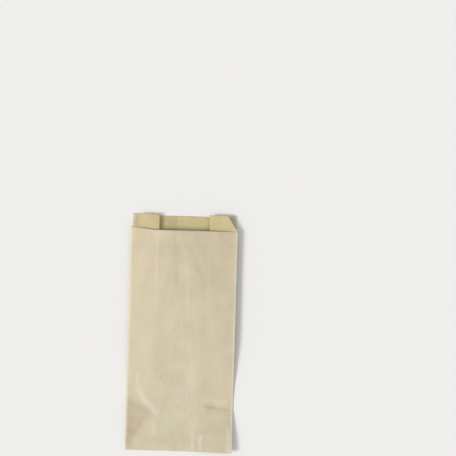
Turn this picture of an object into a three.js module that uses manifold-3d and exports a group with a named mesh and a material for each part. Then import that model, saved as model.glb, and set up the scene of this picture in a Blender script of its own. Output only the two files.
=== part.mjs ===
// A brown kraft paper lunch bag with side gussets, lying flat on its back as it comes out of the pack.
// It is one sheet of paper: a tube with a glued seam down its back, a gusset tucked into each side,
// a mouth cut in a step so that the front is shorter than the back, and a bottom turned under and glued.
// Millimetres. X runs across the bag, Y from the bottom fold to the mouth, and Z up from the table.
import * as THREE from "three";
import { mergeVertices } from "three/addons/utils/BufferGeometryUtils.js";
import Module from "manifold-3d";

// The sheet
const PAPER = 0.08; // thickness of the kraft paper
const FOLD_RADIUS = 0.1; // radius of every pressed fold, at the middle of the paper

// The folded bag
const BAG_WIDTH = 100; // side fold to side fold
const BAG_LENGTH = 222; // bottom fold to the end of the back lip
const GUSSET_DEPTH = 26.5; // each side is tucked in this far, 53 mm of paper a side
const BACK_INSET = 1; // the back folds lie this far inside the front ones
const SEAM_OVERLAP = 12; // paper on paper down the middle of the back
const SEAM_RUN_OUT = 4; // the upper layer comes down to the table beside the seam over this width

// The mouth
const LIP_STEP = 15; // the front is cut this much shorter than the back
const TAB_SLANT = 9; // the cut climbs across the gusset over this width, which gives the slanted tabs
const LIP_DIP = 1.4; // the back lip is cut this much lower between the tabs
const LIP_DIP_RUN = 6; // and comes up to its full length over this width under them
const CORNER_RISE = 2; // the front's cut edge climbs to its left corner by this much
const CORNER_RISE_WIDTH = 26; // and does so over this width

// The bottom
const FLAP_LENGTH = 20; // the front runs on under the bag as one layer this long
const FLAP_SLANT = 4.5; // the flap's corners are cut back over this width
const TUCK_LENGTH = 5; // the other layers are turned under with it this far
const GLUE_LENGTH = 7; // above the bottom fold the layers are glued together this far
const GLUE_GAP = 0.06; // room between the turned-under layers and the back
const FLAP_RAMP = 7; // the back comes down off the tucked layers over this length
const STEP_RAMP = 4; // and off the end of the flap over this length

// How it lies. A height is how far the front lies over the back, paper middle to paper middle.
const PRESSED = 6 * FOLD_RADIUS; // four layers pressed together
const LEFT_HEIGHT = 3;
const RIGHT_HEIGHT = 5;
const LEFT_OPENS = [32, 95]; // the left side opens between these distances from the bottom fold
const RIGHT_OPENS = [44, 112];
const CROWN = 2; // the front arches this much above its two side folds
const CROWN_OPENS = [8, 78];
const CROWN_POWER = 2.6; // a higher power gives a flatter middle
const MOUTH_CURL = 0.7; // the front's cut edge curls up by this much
const MOUTH_CURL_LENGTH = 14;
const GUSSET_LEVEL = 0.55; // the gusset's inner fold lies at this share of the height there

// The two bottom corners are bent up from the table along two creases that meet in a point.
// A crease runs from the point along its direction, and the paper beyond it climbs by its slope. The
// softness is half the width over which the crease turns.
const LEFT_CORNER = {
  point: [-23, 38.5],
  creases: [
    { along: [-25, 11.5], beyond: [0, -1], slope: 0.18, softness: 3 },
    { along: [-23, -36], beyond: [-1, 0], slope: 0.2, softness: 4 },
  ],
};
const RIGHT_CORNER = {
  point: [20, 46.5],
  creases: [
    { along: [28, -6.5], beyond: [0, -1], slope: 0.16, softness: 2 },
    { along: [-4, -46], beyond: [1, 0], slope: 0.16, softness: 15 },
  ],
};

// How finely the paper is divided
const MIDDLE_STEPS = 3; // across a panel from the seam to a gusset's inner fold
const GUSSET_STEPS = 2; // across a gusset, from its inner fold to the slanted corner
const FOLD_STEPS = 3; // round a side fold
const NOSE_STEPS = 4; // round the bottom fold
const END_STEPS = 3; // from the last straight row to the cut at the mouth
const FLAP_STEPS = 3; // from the end of the glue to the end of the flap
const CREASED_LENGTH = 52; // the creases end this far from the bottom
const CREASED_STEPS = 7;
const PLAIN_STEPS = 9; // from there to the mouth, in rows that grow further apart
const EDGE = 0.05; // a cut edge seen end on leans by this much

const { lerp, smoothstep } = THREE.MathUtils;
const clamp01 = (value) => THREE.MathUtils.clamp(value, 0, 1);

// Sizes that follow from the ones above
const stackThickness = PRESSED + PAPER;
const backSkinAtBottom = stackThickness + GLUE_GAP; // the back rides on the layers turned under it
const foldAxisHeight = backSkinAtBottom - GLUE_GAP / 2;
const noseRadius = backSkinAtBottom + stackThickness - foldAxisHeight;
const noseRun = Math.PI * (noseRadius - PAPER / 2); // length of the front's paper round the bottom fold
const mouthPlace = BAG_LENGTH - noseRadius; // distances are counted from where the bottom fold begins
const frontMouthPlace = mouthPlace - LIP_STEP;
const straightEnd = frontMouthPlace - MOUTH_CURL_LENGTH / 2;
const frontFoldX = BAG_WIDTH / 2 - PAPER / 2 - FOLD_RADIUS; // centre of the front fold's bend
const backFoldX = frontFoldX - BACK_INSET;
const innerFoldX = BAG_WIDTH / 2 - GUSSET_DEPTH + FOLD_RADIUS;
const slantX = frontFoldX - TAB_SLANT;

// Height of the back panel's middle of paper. It is on the table, apart from the bottom, where it stays up
// longer beside the flap.
function backLevel(x, s) {
  const aside = clamp01((Math.abs(x) - slantX) / FLAP_SLANT);
  const tucked = lerp(TUCK_LENGTH, FLAP_LENGTH, aside);
  const overTuck = 1 - smoothstep(s, tucked, tucked + FLAP_RAMP);
  const overFlap = 1 - smoothstep(s, FLAP_LENGTH, FLAP_LENGTH + STEP_RAMP);
  const flapSkin = PAPER + GLUE_GAP;
  return overTuck * (backSkinAtBottom - flapSkin) + overFlap * flapSkin + PAPER / 2;
}

function sideHeight(side, s) {
  const open = side < 0 ? LEFT_HEIGHT : RIGHT_HEIGHT;
  const [from, to] = side < 0 ? LEFT_OPENS : RIGHT_OPENS;
  return lerp(PRESSED, open, smoothstep(s, from, to));
}

// The front panel spans its two side folds and arches between them.
function frontLevel(x, s) {
  const across = x / BAG_WIDTH + 0.5;
  const chord = lerp(sideHeight(-1, s), sideHeight(1, s), across);
  const arch = 1 - Math.pow(clamp01(Math.abs(x) / frontFoldX), CROWN_POWER);
  const curl = MOUTH_CURL * smoothstep(s, frontMouthPlace - MOUTH_CURL_LENGTH, frontMouthPlace);
  return backLevel(x, s) + chord + arch * (CROWN * smoothstep(s, ...CROWN_OPENS) + curl);
}

// Height of a gusset's inner fold over the back
function innerFoldHeight(side, s) {
  const room = frontLevel(side * innerFoldX, s) - backLevel(innerFoldX, s);
  return room * lerp(0.5, GUSSET_LEVEL, smoothstep(s, ...LEFT_OPENS));
}

// The cut at the mouth, as a distance along the bag
const frontCut = (x) => frontMouthPlace + CORNER_RISE * smoothstep(-x, BAG_WIDTH / 2 - CORNER_RISE_WIDTH, BAG_WIDTH / 2);
const backCut = (x) => mouthPlace - LIP_DIP * (1 - smoothstep(Math.abs(x), innerFoldX, innerFoldX + LIP_DIP_RUN));
const gussetCut = (side, fromFold) => lerp(frontCut(side * frontFoldX), mouthPlace, clamp01(fromFold / TAB_SLANT));

// The cut at the bottom, as a length of paper turned under
const flapCut = (x) => lerp(TUCK_LENGTH, FLAP_LENGTH, clamp01((frontFoldX - Math.abs(x)) / FLAP_SLANT));

// A station is one line of the paper from the bottom cut to the mouth cut. at gives its place across the
// bag and its height, under the length turned under, and outer and inner how far the skins lie from it.
const station = (at, mouth, under = TUCK_LENGTH, outer = PAPER / 2, inner = PAPER / 2) => ({
  at,
  mouth,
  under,
  outer,
  inner,
});

const evenly = (from, to, steps) => Array.from({ length: steps + 1 }, (_, i) => lerp(from, to, i / steps));

// Lines along the bag. Its layers share them, so that they keep apart where the paper is bent.
const gussetLines = [...evenly(innerFoldX, slantX, GUSSET_STEPS), slantX + TAB_SLANT / 2];
const middleLines = [SEAM_OVERLAP / 2, ...evenly(SEAM_OVERLAP / 2 + SEAM_RUN_OUT, innerFoldX, MIDDLE_STEPS).slice(0, -1)];

// Places across half a panel, from the seam to a side fold, and across a whole one
const halfPanel = (foldX) => [...middleLines, ...gussetLines, foldX];
const wholePanel = (foldX) => [
  ...halfPanel(foldX)
    .map((x) => -x)
    .reverse(),
  ...halfPanel(foldX),
];

function frontPanel() {
  return wholePanel(frontFoldX).map((x) => station((s) => [x, frontLevel(x, s)], frontCut(x), flapCut(x)));
}

// The back panel from right to left. Its two halves overlap at the seam: the left half runs under the
// right one, whose paper steps over it and comes down again.
function backPanel() {
  const half = PAPER / 2;
  const edgeX = SEAM_OVERLAP / 2;
  const right = halfPanel(backFoldX).slice(1).reverse();
  const left = halfPanel(backFoldX)
    .slice(1)
    .map((x) => -x);
  const line = (x, outer, inner) => station((s) => [x, backLevel(x, s)], backCut(x), TUCK_LENGTH, outer, inner);
  return [
    ...right.map((x) => line(x, half, half)),
    line(edgeX + EDGE, half - PAPER, half + PAPER),
    line(edgeX, half, half + PAPER),
    line(-edgeX, half, half + PAPER),
    line(-edgeX - EDGE, half, half),
    ...left.map((x) => line(x, half, half)),
  ];
}

// A fold's stations go half round its axis from one layer to the next, the ends left out.
function fold(axis, turn, mouth) {
  return evenly(0, 1, FOLD_STEPS)
    .slice(1, -1)
    .map((share) => {
      const angle = Math.PI * (0.5 + turn * share);
      const at = (s) => {
        const [x, height] = axis(s);
        return [x + FOLD_RADIUS * Math.cos(angle), height + FOLD_RADIUS * Math.sin(angle)];
      };
      return station(at, mouth);
    });
}

// One side of the bag from the front panel's edge to the back panel's, built on the right and mirrored.
function gusset(side) {
  const frontFold = (s) => [frontFoldX, frontLevel(side * frontFoldX, s) - FOLD_RADIUS];
  const innerFold = (s) => [innerFoldX, backLevel(innerFoldX, s) + innerFoldHeight(side, s)];
  const backFold = (s) => [backFoldX, backLevel(backFoldX, s) + FOLD_RADIUS];

  // A gusset half runs from its inner fold to its outer one, level over the back at both ends.
  const half = (outerFold, lift, x) => (s) => {
    const [outerX, outerLevel] = outerFold(s);
    const outerHeight = outerLevel - backLevel(outerX, s) - lift;
    const share = smoothstep(x, innerFoldX, outerX);
    return [x, backLevel(x, s) + lerp(innerFoldHeight(side, s) + lift, outerHeight, share)];
  };
  const frontHalf = [...gussetLines, frontFoldX]
    .map((x) => station(half(frontFold, FOLD_RADIUS, x), gussetCut(side, frontFoldX - x)))
    .reverse();
  const backHalf = [...gussetLines, backFoldX].map((x) => station(half(backFold, -FOLD_RADIUS, x), mouthPlace));
  const stations = [
    ...fold(frontFold, -1, frontCut(side * frontFoldX)),
    ...frontHalf,
    ...fold(innerFold, 1, mouthPlace),
    ...backHalf,
    ...fold(backFold, -1, mouthPlace),
  ];
  if (side > 0) return stations;
  return stations.reverse().map((one) => ({
    ...one,
    at: (s) => {
      const [x, height] = one.at(s);
      return [-x, height];
    },
  }));
}

// The whole way round the tube, with the outside of the paper on the left hand
const stations = [...frontPanel(), ...gusset(1), ...backPanel(), ...gusset(-1)];

// Unit normal of the paper at a station, pointing out of the bag
function outward(index, s) {
  const count = stations.length;
  const [before, here, after] = [index - 1, index, index + 1].map((i) => {
    const [x, height] = stations[(i + count) % count].at(s);
    return new THREE.Vector2(x, height);
  });
  const tangent = here.clone().sub(before).normalize().add(after.sub(here).normalize()).normalize();
  return new THREE.Vector2(-tangent.y, tangent.x);
}

// The bottom is turned under: below the fold's beginning the paper goes half round the fold's axis, then
// back along the table.
function turnUnder([x, s, height]) {
  if (s >= 0) return [x, s, height];
  const radius = height - foldAxisHeight;
  const angle = Math.min(-s / noseRun, 1) * Math.PI;
  const past = Math.max(0, -s - noseRun);
  return [x, past - radius * Math.sin(angle), foldAxisHeight + radius * Math.cos(angle)];
}

// A crease turns softly: nothing on its near side, a parabola across it, then a straight slope.
function creaseRise(distance, { slope, softness }) {
  if (distance <= -softness) return 0;
  return slope * (distance >= softness ? distance : (distance + softness) ** 2 / (4 * softness));
}

// The lift of a corner follows the smaller of its creases' rises, with a round ridge between the two.
function cornerLift({ point, creases }, x, y) {
  const [one, other] = creases.map((crease) => {
    const normal = new THREE.Vector2(-crease.along[1], crease.along[0]).normalize();
    if (normal.dot(new THREE.Vector2(...crease.beyond)) < 0) normal.negate();
    return creaseRise(normal.dot(new THREE.Vector2(x - point[0], y - point[1])), crease);
  });
  return one && other ? (one * other) / Math.hypot(one, other) : 0;
}

// Rows across the bag, shared by its layers like the lines along it
const bottomRows = [0, TUCK_LENGTH * 0.4, TUCK_LENGTH, ...evenly(GLUE_LENGTH, FLAP_LENGTH, FLAP_STEPS)];
const bodyRows = [
  ...bottomRows,
  ...evenly(FLAP_LENGTH, CREASED_LENGTH, CREASED_STEPS).slice(1, -1),
  ...evenly(0, 1, PLAIN_STEPS).map((share) => lerp(CREASED_LENGTH, straightEnd, lerp(share * share, share, 0.45))),
].slice(0, -1);

// Places along one station: flap or tuck, bottom fold, body, mouth.
function placesAlong({ under, mouth }) {
  const [first, second] = bottomRows;
  const squeeze = (row) => (row <= second ? row : lerp(second, under, (row - second) / (FLAP_LENGTH - second)));
  return [
    ...bottomRows
      .slice(1)
      .reverse()
      .map((row) => -noseRun - squeeze(row)),
    ...evenly(-noseRun, first, NOSE_STEPS).slice(0, -1),
    ...bodyRows,
    ...evenly(straightEnd, mouth, END_STEPS),
  ];
}

// The lift of the corners is worked out where lines and rows meet and is flat between them, so every
// layer of paper is bent alike. The flat pieces are triangles, split from lower left to upper right.
const liftLines = wholePanel(frontFoldX);
const liftRows = [...bodyRows, straightEnd];
const liftGrid = liftRows.map((y) => liftLines.map((x) => cornerLift(LEFT_CORNER, x, y) + cornerLift(RIGHT_CORNER, x, y)));

function cell(lines, value) {
  const last = lines.length - 2;
  const index = Math.min(Math.max(lines.findIndex((line) => line > value) - 1, 0), last);
  const at = value >= lines[last] ? last : index;
  return [at, (value - lines[at]) / (lines[at + 1] - lines[at])];
}

function lay([x, y, z]) {
  const [i, u] = cell(liftLines, x);
  const [j, v] = cell(liftRows, y);
  const [near, far] = [liftGrid[j], liftGrid[j + 1]];
  const corner = u > v ? near[i + 1] : far[i];
  const rise = u > v
    ? near[i] + u * (corner - near[i]) + v * (far[i + 1] - corner)
    : near[i] + v * (corner - near[i]) + u * (far[i + 1] - corner);
  return [x, y, z + rise];
}

// A closed body from a grid of loops: each loop has the same number of points, and the two ends are
// closed by the given faces.
function solidFrom(wasm, positions, triangles) {
  const geometry = new THREE.BufferGeometry();
  geometry.setAttribute("position", new THREE.Float32BufferAttribute(positions.flat(), 3));
  geometry.setIndex(triangles);
  const merged = mergeVertices(geometry, 1e-5);
  return new wasm.Manifold(
    new wasm.Mesh({
      numProp: 3,
      vertProperties: merged.attributes.position.array,
      triVerts: new Uint32Array(merged.index.array),
    }),
  );
}

// Two triangles for a four-sided face, split from its first corner or from its second.
function quad(triangles, [a, b, c, d], fromSecond) {
  if (fromSecond) triangles.push(b, c, d, b, d, a);
  else triangles.push(a, b, c, a, c, d);
}

// The paper itself: an outer and an inner skin, joined along the two cut edges.
function paperTube(wasm) {
  const columns = stations.map((one, index) =>
    placesAlong(one).map((s) => {
      const [x, height] = one.at(s);
      const normal = outward(index, s);
      const skin = (offset) => lay(turnUnder([x + normal.x * offset, s, height + normal.y * offset]));
      return [skin(one.outer), skin(-one.inner)];
    }),
  );
  const rows = columns[0].length;
  const count = columns.length;
  const vertex = (column, row, skin) => ((column % count) * rows + row) * 2 + skin;
  const triangles = [];
  for (let i = 0; i < count; i++) {
    const toTheLeft = stations[(i + 1) % count].at(0)[0] < stations[i].at(0)[0];
    for (let j = 0; j < rows - 1; j++) {
      const turnedUnder = j < bottomRows.length - 1;
      const split = toTheLeft !== turnedUnder;
      quad(triangles, [vertex(i, j, 0), vertex(i + 1, j, 0), vertex(i + 1, j + 1, 0), vertex(i, j + 1, 0)], split);
      quad(triangles, [vertex(i, j, 1), vertex(i, j + 1, 1), vertex(i + 1, j + 1, 1), vertex(i + 1, j, 1)], split);
    }
    const last = rows - 1;
    quad(triangles, [vertex(i, 0, 0), vertex(i, 0, 1), vertex(i + 1, 0, 1), vertex(i + 1, 0, 0)]);
    quad(triangles, [vertex(i, last, 0), vertex(i + 1, last, 0), vertex(i + 1, last, 1), vertex(i, last, 1)]);
  }
  return solidFrom(wasm, columns.flat(2), triangles);
}

// A glued patch fills the layers between a lower and an upper surface, each over the same lines and rows.
function gluedPatch(wasm, lines, rows, lower, upper) {
  const points = [lower, upper].flatMap((surface) => rows.flatMap((s) => lines.map((x) => surface(x, s))));
  const width = lines.length;
  const vertex = (column, row, level) => (level * rows.length + row) * width + column;
  const triangles = [];
  const end = width - 1;
  for (let j = 0; j < rows.length - 1; j++) {
    for (let i = 0; i < end; i++) {
      const split = rows[j] < -noseRun;
      quad(triangles, [vertex(i, j, 1), vertex(i + 1, j, 1), vertex(i + 1, j + 1, 1), vertex(i, j + 1, 1)], split);
      quad(triangles, [vertex(i, j, 0), vertex(i, j + 1, 0), vertex(i + 1, j + 1, 0), vertex(i + 1, j, 0)], split);
    }
    quad(triangles, [vertex(0, j, 0), vertex(0, j, 1), vertex(0, j + 1, 1), vertex(0, j + 1, 0)]);
    quad(triangles, [vertex(end, j, 0), vertex(end, j + 1, 0), vertex(end, j + 1, 1), vertex(end, j, 1)]);
  }
  const last = rows.length - 1;
  for (let i = 0; i < end; i++) {
    quad(triangles, [vertex(i, 0, 0), vertex(i + 1, 0, 0), vertex(i + 1, 0, 1), vertex(i, 0, 1)]);
    quad(triangles, [vertex(i, last, 0), vertex(i, last, 1), vertex(i + 1, last, 1), vertex(i + 1, last, 0)]);
  }
  return solidFrom(wasm, points, triangles);
}

// Glue stops short of the side folds. Where the back steps over the seam, it reaches up to the upper layer.
const gluedLines = wholePanel(frontFoldX).slice(1, -1);
const gluedBackLevel = (x, s) => backLevel(x, s) + (x === SEAM_OVERLAP / 2 ? PAPER : 0);

// The bottom glue: all the layers on both sides of the bottom fold
function bottomGlue(wasm) {
  const second = bottomRows[1];
  const tucked = [-noseRun - lerp(second, TUCK_LENGTH, 0.7), -noseRun - second];
  const rows = [...evenly(-noseRun, 0, NOSE_STEPS).slice(0, -1), ...bottomRows.filter((s) => s <= GLUE_LENGTH)];
  return gluedPatch(
    wasm,
    gluedLines,
    [...tucked, ...rows],
    (x, s) => lay(turnUnder([x, s, gluedBackLevel(x, s)])),
    (x, s) => lay(turnUnder([x, s, frontLevel(x, s)])),
  );
}

// The flap glue: the turned-under flap against the back
function flapGlue(wasm) {
  const reach = FLAP_LENGTH - 1;
  return gluedPatch(
    wasm,
    gluedLines,
    [...bottomRows.filter((s) => s > 0 && s < reach), reach],
    (x, y) => lay([x, y, PAPER / 2]),
    (x, y) => lay([x, y, gluedBackLevel(x, y)]),
  );
}

function geometryOf(solid) {
  const { vertProperties, triVerts } = solid.getMesh();
  const geometry = new THREE.BufferGeometry();
  geometry.setAttribute("position", new THREE.Float32BufferAttribute(vertProperties, 3));
  geometry.setIndex(new THREE.Uint32BufferAttribute(triVerts, 1));
  geometry.computeVertexNormals();
  return geometry;
}

const wasm = await Module();
wasm.setup();

const kraft = new THREE.MeshStandardMaterial({ name: "kraft_paper", color: 0xd0c6aa, roughness: 0.8, metalness: 0 });
const bag = new THREE.Mesh(geometryOf(paperTube(wasm).add(bottomGlue(wasm)).add(flapGlue(wasm))), kraft);
bag.name = "folded_bag";
bag.position.y = noseRadius - BAG_LENGTH / 2; // the origin is on the table, under the middle of the bag

const lunchBag = new THREE.Group();
lunchBag.add(bag);

export default lunchBag;
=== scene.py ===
"""A brown kraft paper lunch bag, lying flat on its back on a pale table and seen from straight above.

The bag is one sheet of paper, so it is one piece here. The sheet is a grid: lines run along the bag from
the cut at its bottom to the cut at its mouth, and each line is a row of points. Going from line to line
leads once round the tube, from the seam in the back over a gusset, the front and the other gusset to the
seam again. Sizes are in millimetres until the points go into the mesh.
"""

from __future__ import annotations

import logging
import math
from dataclasses import dataclass, replace
from enum import Enum
from typing import Any, Callable, Mapping, Sequence

import bpy
import numpy as np
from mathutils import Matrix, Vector

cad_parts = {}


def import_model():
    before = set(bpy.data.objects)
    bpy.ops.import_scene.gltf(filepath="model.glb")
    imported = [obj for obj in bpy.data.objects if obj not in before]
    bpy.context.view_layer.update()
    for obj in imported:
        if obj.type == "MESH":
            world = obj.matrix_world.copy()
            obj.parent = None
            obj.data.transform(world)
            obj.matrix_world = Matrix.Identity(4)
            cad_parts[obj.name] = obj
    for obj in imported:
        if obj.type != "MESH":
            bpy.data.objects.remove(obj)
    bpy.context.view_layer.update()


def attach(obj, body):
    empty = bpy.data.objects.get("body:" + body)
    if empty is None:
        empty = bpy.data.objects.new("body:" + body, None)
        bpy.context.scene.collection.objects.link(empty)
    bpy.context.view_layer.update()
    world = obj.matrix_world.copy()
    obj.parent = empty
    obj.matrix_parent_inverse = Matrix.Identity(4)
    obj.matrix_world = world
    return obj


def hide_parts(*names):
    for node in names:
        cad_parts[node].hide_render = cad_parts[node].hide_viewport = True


LOG = logging.getLogger("lunch_bag")
MM = 0.001
NODE = "folded_bag"

# The flat sheet's UV map is in decimetres, which have this many millimetres
SHEET_UNIT = 100.0

# Keeps a quotient finite where both its numbers are nought
TINY = 1e-9

# A level gives heights from places across the bag and distances along it. An input is what a node's
# socket takes: a value, or a link from another node.
Array = np.ndarray
Span = tuple[float, float]
Colour = tuple[float, float, float]
Level = Callable[[Array, Array], Array]
Input = Any


class Side(Enum):
    """The two sides of the bag, as the camera sees them."""

    LEFT = -1
    RIGHT = 1


class Face(Enum):
    """The three kinds of paper surface, in the order of the piece's material slots."""

    OUTSIDE = 0
    INSIDE = 1
    CUT = 2


def smoothstep(value: Array, low: float | Array, high: float | Array) -> Array:
    """Returns 0 below low, 1 above high and 3t^2 - 2t^3 between them, where t runs from 0 to 1."""
    t = np.clip((value - low) / (high - low), 0.0, 1.0)
    return t * t * (3.0 - 2.0 * t)


def lerp(start: Any, end: Any, share: Any) -> Any:
    """Returns the value that lies at a share of the way from start to end."""
    return start + (end - start) * share


def through(stops: Sequence[float], steps: Sequence[int]) -> Array:
    """Returns places that lead through all the stops, evenly spaced in steps between each two."""
    runs = [np.linspace(start, end, count + 1)[1:] for start, end, count in zip(stops, stops[1:], steps)]
    return np.concatenate([stops[:1], *runs])


@dataclass(frozen=True)
class Crease:
    """A straight crease from a corner's point. Beyond it the paper climbs by its slope.

    The softness is half the width over which the crease turns.
    """

    along: tuple[float, float]
    beyond: tuple[float, float]
    slope: float
    softness: float

    def rise(self, x: Array, y: Array, point: tuple[float, float]) -> Array:
        """Works out how far the paper climbs beyond the crease.

        With d the distance beyond the crease line and w the softness, the rise is 0 for d < -w,
        slope * (d + w)^2 / 4w across the crease, and slope * d for d > w.

        Args:
            x: Places across the bag.
            y: Places along the bag, from its bottom.
            point: The point that the crease starts from.

        Returns:
            The rise at each place.
        """
        normal = np.array((-self.along[1], self.along[0])) / math.hypot(*self.along)
        normal *= math.copysign(1.0, float(normal @ np.array(self.beyond)))
        distance = normal[0] * (x - point[0]) + normal[1] * (y - point[1])
        soft = np.clip(distance, -self.softness, self.softness) + self.softness
        return self.slope * (soft**2 / (4.0 * self.softness) + np.maximum(distance - self.softness, 0.0))


@dataclass(frozen=True)
class BentCorner:
    """A bottom corner that two creases bend up from the table."""

    point: tuple[float, float]
    creases: tuple[Crease, Crease]

    def lift(self, x: Array, y: Array) -> Array:
        """Returns a b / sqrt(a^2 + b^2), with a and b the creases' rises: a lift with a round ridge."""
        rises = [crease.rise(x, y, self.point) for crease in self.creases]
        return rises[0] * rises[1] / np.maximum(np.hypot(*rises), TINY)


@dataclass(frozen=True)
class Dent:
    """A mark pressed into the front: a straight ridge, or a groove where the height is negative."""

    start: tuple[float, float]
    end: tuple[float, float]
    width: float
    height: float

    def relief(self, x: Array, y: Array) -> Array:
        """Works out the mark's height, height * exp(-(d / width)^2) at the distance d from its line.

        Args:
            x: Places across the bag.
            y: Places along the bag, from its bottom.

        Returns:
            The height at each place.
        """
        start = np.array(self.start)
        run = np.array(self.end) - start
        share = np.clip(((x - start[0]) * run[0] + (y - start[1]) * run[1]) / float(run @ run), 0.0, 1.0)
        distance = np.hypot(x - start[0] - share * run[0], y - start[1] - share * run[1])
        return self.height * np.exp(-((distance / self.width) ** 2))


@dataclass(frozen=True)
class Shade:
    """A soft patch where the paper's colour is a little darker; most of them are painted shade."""

    middle: tuple[float, float]
    reach: tuple[float, float]
    share: float

    def tone(self, x: Array, y: Array) -> Array:
        """Works out the patch's tone, share * exp(-d^2), with d the distance in units of the reach.

        Args:
            x: Places across the bag.
            y: Places along the bag, from its bottom.

        Returns:
            The share of the darker colour at each place.
        """
        across = (x - self.middle[0]) / self.reach[0]
        along = (y - self.middle[1]) / self.reach[1]
        return self.share * np.exp(-(across**2) - along**2)


@dataclass(frozen=True)
class Wave:
    """One sine wave of the paper's cockle, given by its wavelengths across and along the bag."""

    across: float
    along: float
    phase: float
    height: float

    def relief(self, x: Array, y: Array) -> Array:
        """Returns height * sin(2 pi (x / across + y / along) + phase)."""
        return self.height * np.sin(math.tau * (x / self.across + y / self.along) + self.phase)


LEFT_CORNER = BentCorner(
    point=(-23.0, 38.5),
    creases=(
        Crease(along=(-25.0, 11.5), beyond=(0.0, -1.0), slope=0.18, softness=3.0),
        Crease(along=(-23.0, -36.0), beyond=(-1.0, 0.0), slope=0.2, softness=4.0),
    ),
)
RIGHT_CORNER = BentCorner(
    point=(20.0, 46.5),
    creases=(
        Crease(along=(28.0, -6.5), beyond=(0.0, -1.0), slope=0.16, softness=2.0),
        Crease(along=(-4.0, -46.0), beyond=(1.0, 0.0), slope=0.16, softness=15.0),
    ),
)

# Marks on the front, as the bag shows them: the left corner's soft ridge, the crease at the right, the
# puckers at the glue, the bent right edge and the faint creases down the middle
DENTS = (
    Dent(start=(-39.0, 71.5), end=(-38.6, 58.4), width=1.3, height=0.24),
    Dent(start=(-37.4, 57.0), end=(-30.2, 45.5), width=3.4, height=0.55),
    Dent(start=(-30.2, 45.5), end=(-21.0, 36.6), width=3.2, height=0.6),
    Dent(start=(-17.3, 64.0), end=(-17.2, 59.5), width=1.2, height=0.16),
    Dent(start=(25.5, 48.6), end=(45.0, 46.8), width=2.0, height=0.26),
    Dent(start=(23.6, 42.4), end=(34.6, 40.8), width=1.7, height=-0.27),
    Dent(start=(35.8, 40.4), end=(46.5, 39.0), width=1.7, height=-0.25),
    Dent(start=(30.0, 33.6), end=(44.0, 32.4), width=3.2, height=0.18),
    Dent(start=(-22.6, 26.0), end=(-21.9, 15.0), width=1.3, height=0.28),
    Dent(start=(-20.6, 20.0), end=(-20.2, 13.5), width=1.2, height=-0.12),
    Dent(start=(5.9, 60.6), end=(6.1, 51.2), width=0.6, height=-0.14),
    Dent(start=(2.7, 11.8), end=(2.9, 2.5), width=1.8, height=0.2),
    Dent(start=(13.7, 15.8), end=(14.1, 2.5), width=1.9, height=0.3),
    Dent(start=(21.3, 13.3), end=(21.6, 2.5), width=1.8, height=0.42),
    Dent(start=(47.2, 22.0), end=(47.8, 1.5), width=1.5, height=0.8),
    Dent(start=(-0.8, 200.5), end=(5.3, 165.0), width=1.7, height=0.15),
    Dent(start=(5.3, 165.0), end=(7.4, 123.0), width=1.6, height=0.15),
    Dent(start=(-8.2, 201.0), end=(-4.3, 149.0), width=2.2, height=-0.12),
    Dent(start=(7.0, 190.0), end=(18.6, 162.0), width=2.4, height=-0.12),
)

# Where the front is painted a little darker: the lower right and a smudge above the bottom, and painted
# shade at the upper right, at the mouth and at the left edge
SHADES = (
    Shade(middle=(34.0, 22.0), reach=(19.0, 7.5), share=0.32),
    Shade(middle=(34.0, 6.0), reach=(16.0, 9.0), share=0.3),
    Shade(middle=(-0.6, 41.0), reach=(6.0, 2.4), share=0.18),
    Shade(middle=(30.0, 186.0), reach=(26.0, 42.0), share=0.34),
    Shade(middle=(-2.0, 196.0), reach=(30.0, 26.0), share=0.2),
    Shade(middle=(-48.5, 20.0), reach=(5.0, 26.0), share=0.26),
)

# Painted shade where the paper behind the front is darker at the mouth: beside the left tab, at the two
# corners and at the right tab's inner fold
MOUTH_SHADES = (
    Shade(middle=(-12.0, 213.0), reach=(9.0, 12.0), share=0.6),
    Shade(middle=(-44.8, 216.0), reach=(2.8, 9.0), share=0.7),
    Shade(middle=(44.2, 216.0), reach=(3.0, 9.0), share=0.4),
    Shade(middle=(23.4, 214.0), reach=(0.8, 12.0), share=0.7),
)

# The paper isn't flat anywhere: long shallow waves, most of them along the bag as the paper's grain is
COCKLE = (
    Wave(across=41.0, along=-310.0, phase=0.4, height=0.09),
    Wave(across=23.0, along=520.0, phase=2.1, height=0.045),
    Wave(across=13.7, along=-240.0, phase=4.0, height=0.022),
    Wave(across=-160.0, along=67.0, phase=1.2, height=0.06),
    Wave(across=95.0, along=38.0, phase=5.1, height=0.035),
    Wave(across=-57.0, along=24.0, phase=3.3, height=0.016),
)

# The front is the seventh strip of the sheet, counted from the seam
FRONT_STRIP = 6


@dataclass(frozen=True)
class Strip:
    """A run of neighbouring lines of the sheet that lie on one panel, gusset half or fold.

    It has its lines' places across the bag, the height of the paper's middle, where each line is cut at
    the mouth, how far it is turned under, and how far the outer and the inner skin lie from the middle.
    """

    x: Array
    height: Level
    mouth: Array
    under: Array
    outer: Array
    inner: Array

    def backwards(self) -> Strip:
        """Returns the same lines in the opposite order."""
        flipped = {name: getattr(self, name)[::-1] for name in ("x", "mouth", "under", "outer", "inner")}
        return replace(self, height=lambda x, s: self.height(x[::-1], s[::-1])[::-1], **flipped)


@dataclass(frozen=True)
class WearAndPaintedLight:
    """How wear, painted highlights and painted shade show on the paper. Strengths are shares of the full
    mark, and sizes are in millimetres.
    """

    # Lighter: painted highlights beside the side folds, at the cuts and on ridges, and wear at sharp turns
    side_edge: float = 2.5
    side_full: float = 0.4
    cut: float = 0.8
    full_turn_deg: float = 30.0
    ridge: float = 0.56
    ridge_heights: Span = (0.02, 0.4)

    # Darker: painted shade on the bent corners and in grooves, and fainter behind the front
    left_bend: float = 0.42
    right_bend: float = 0.1
    bend_height: float = 0.9
    groove: float = 0.55
    groove_depths: Span = (0.03, 0.25)
    behind_front: float = 0.3
    mouth_starts: Span = (190.0, 200.0)


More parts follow.
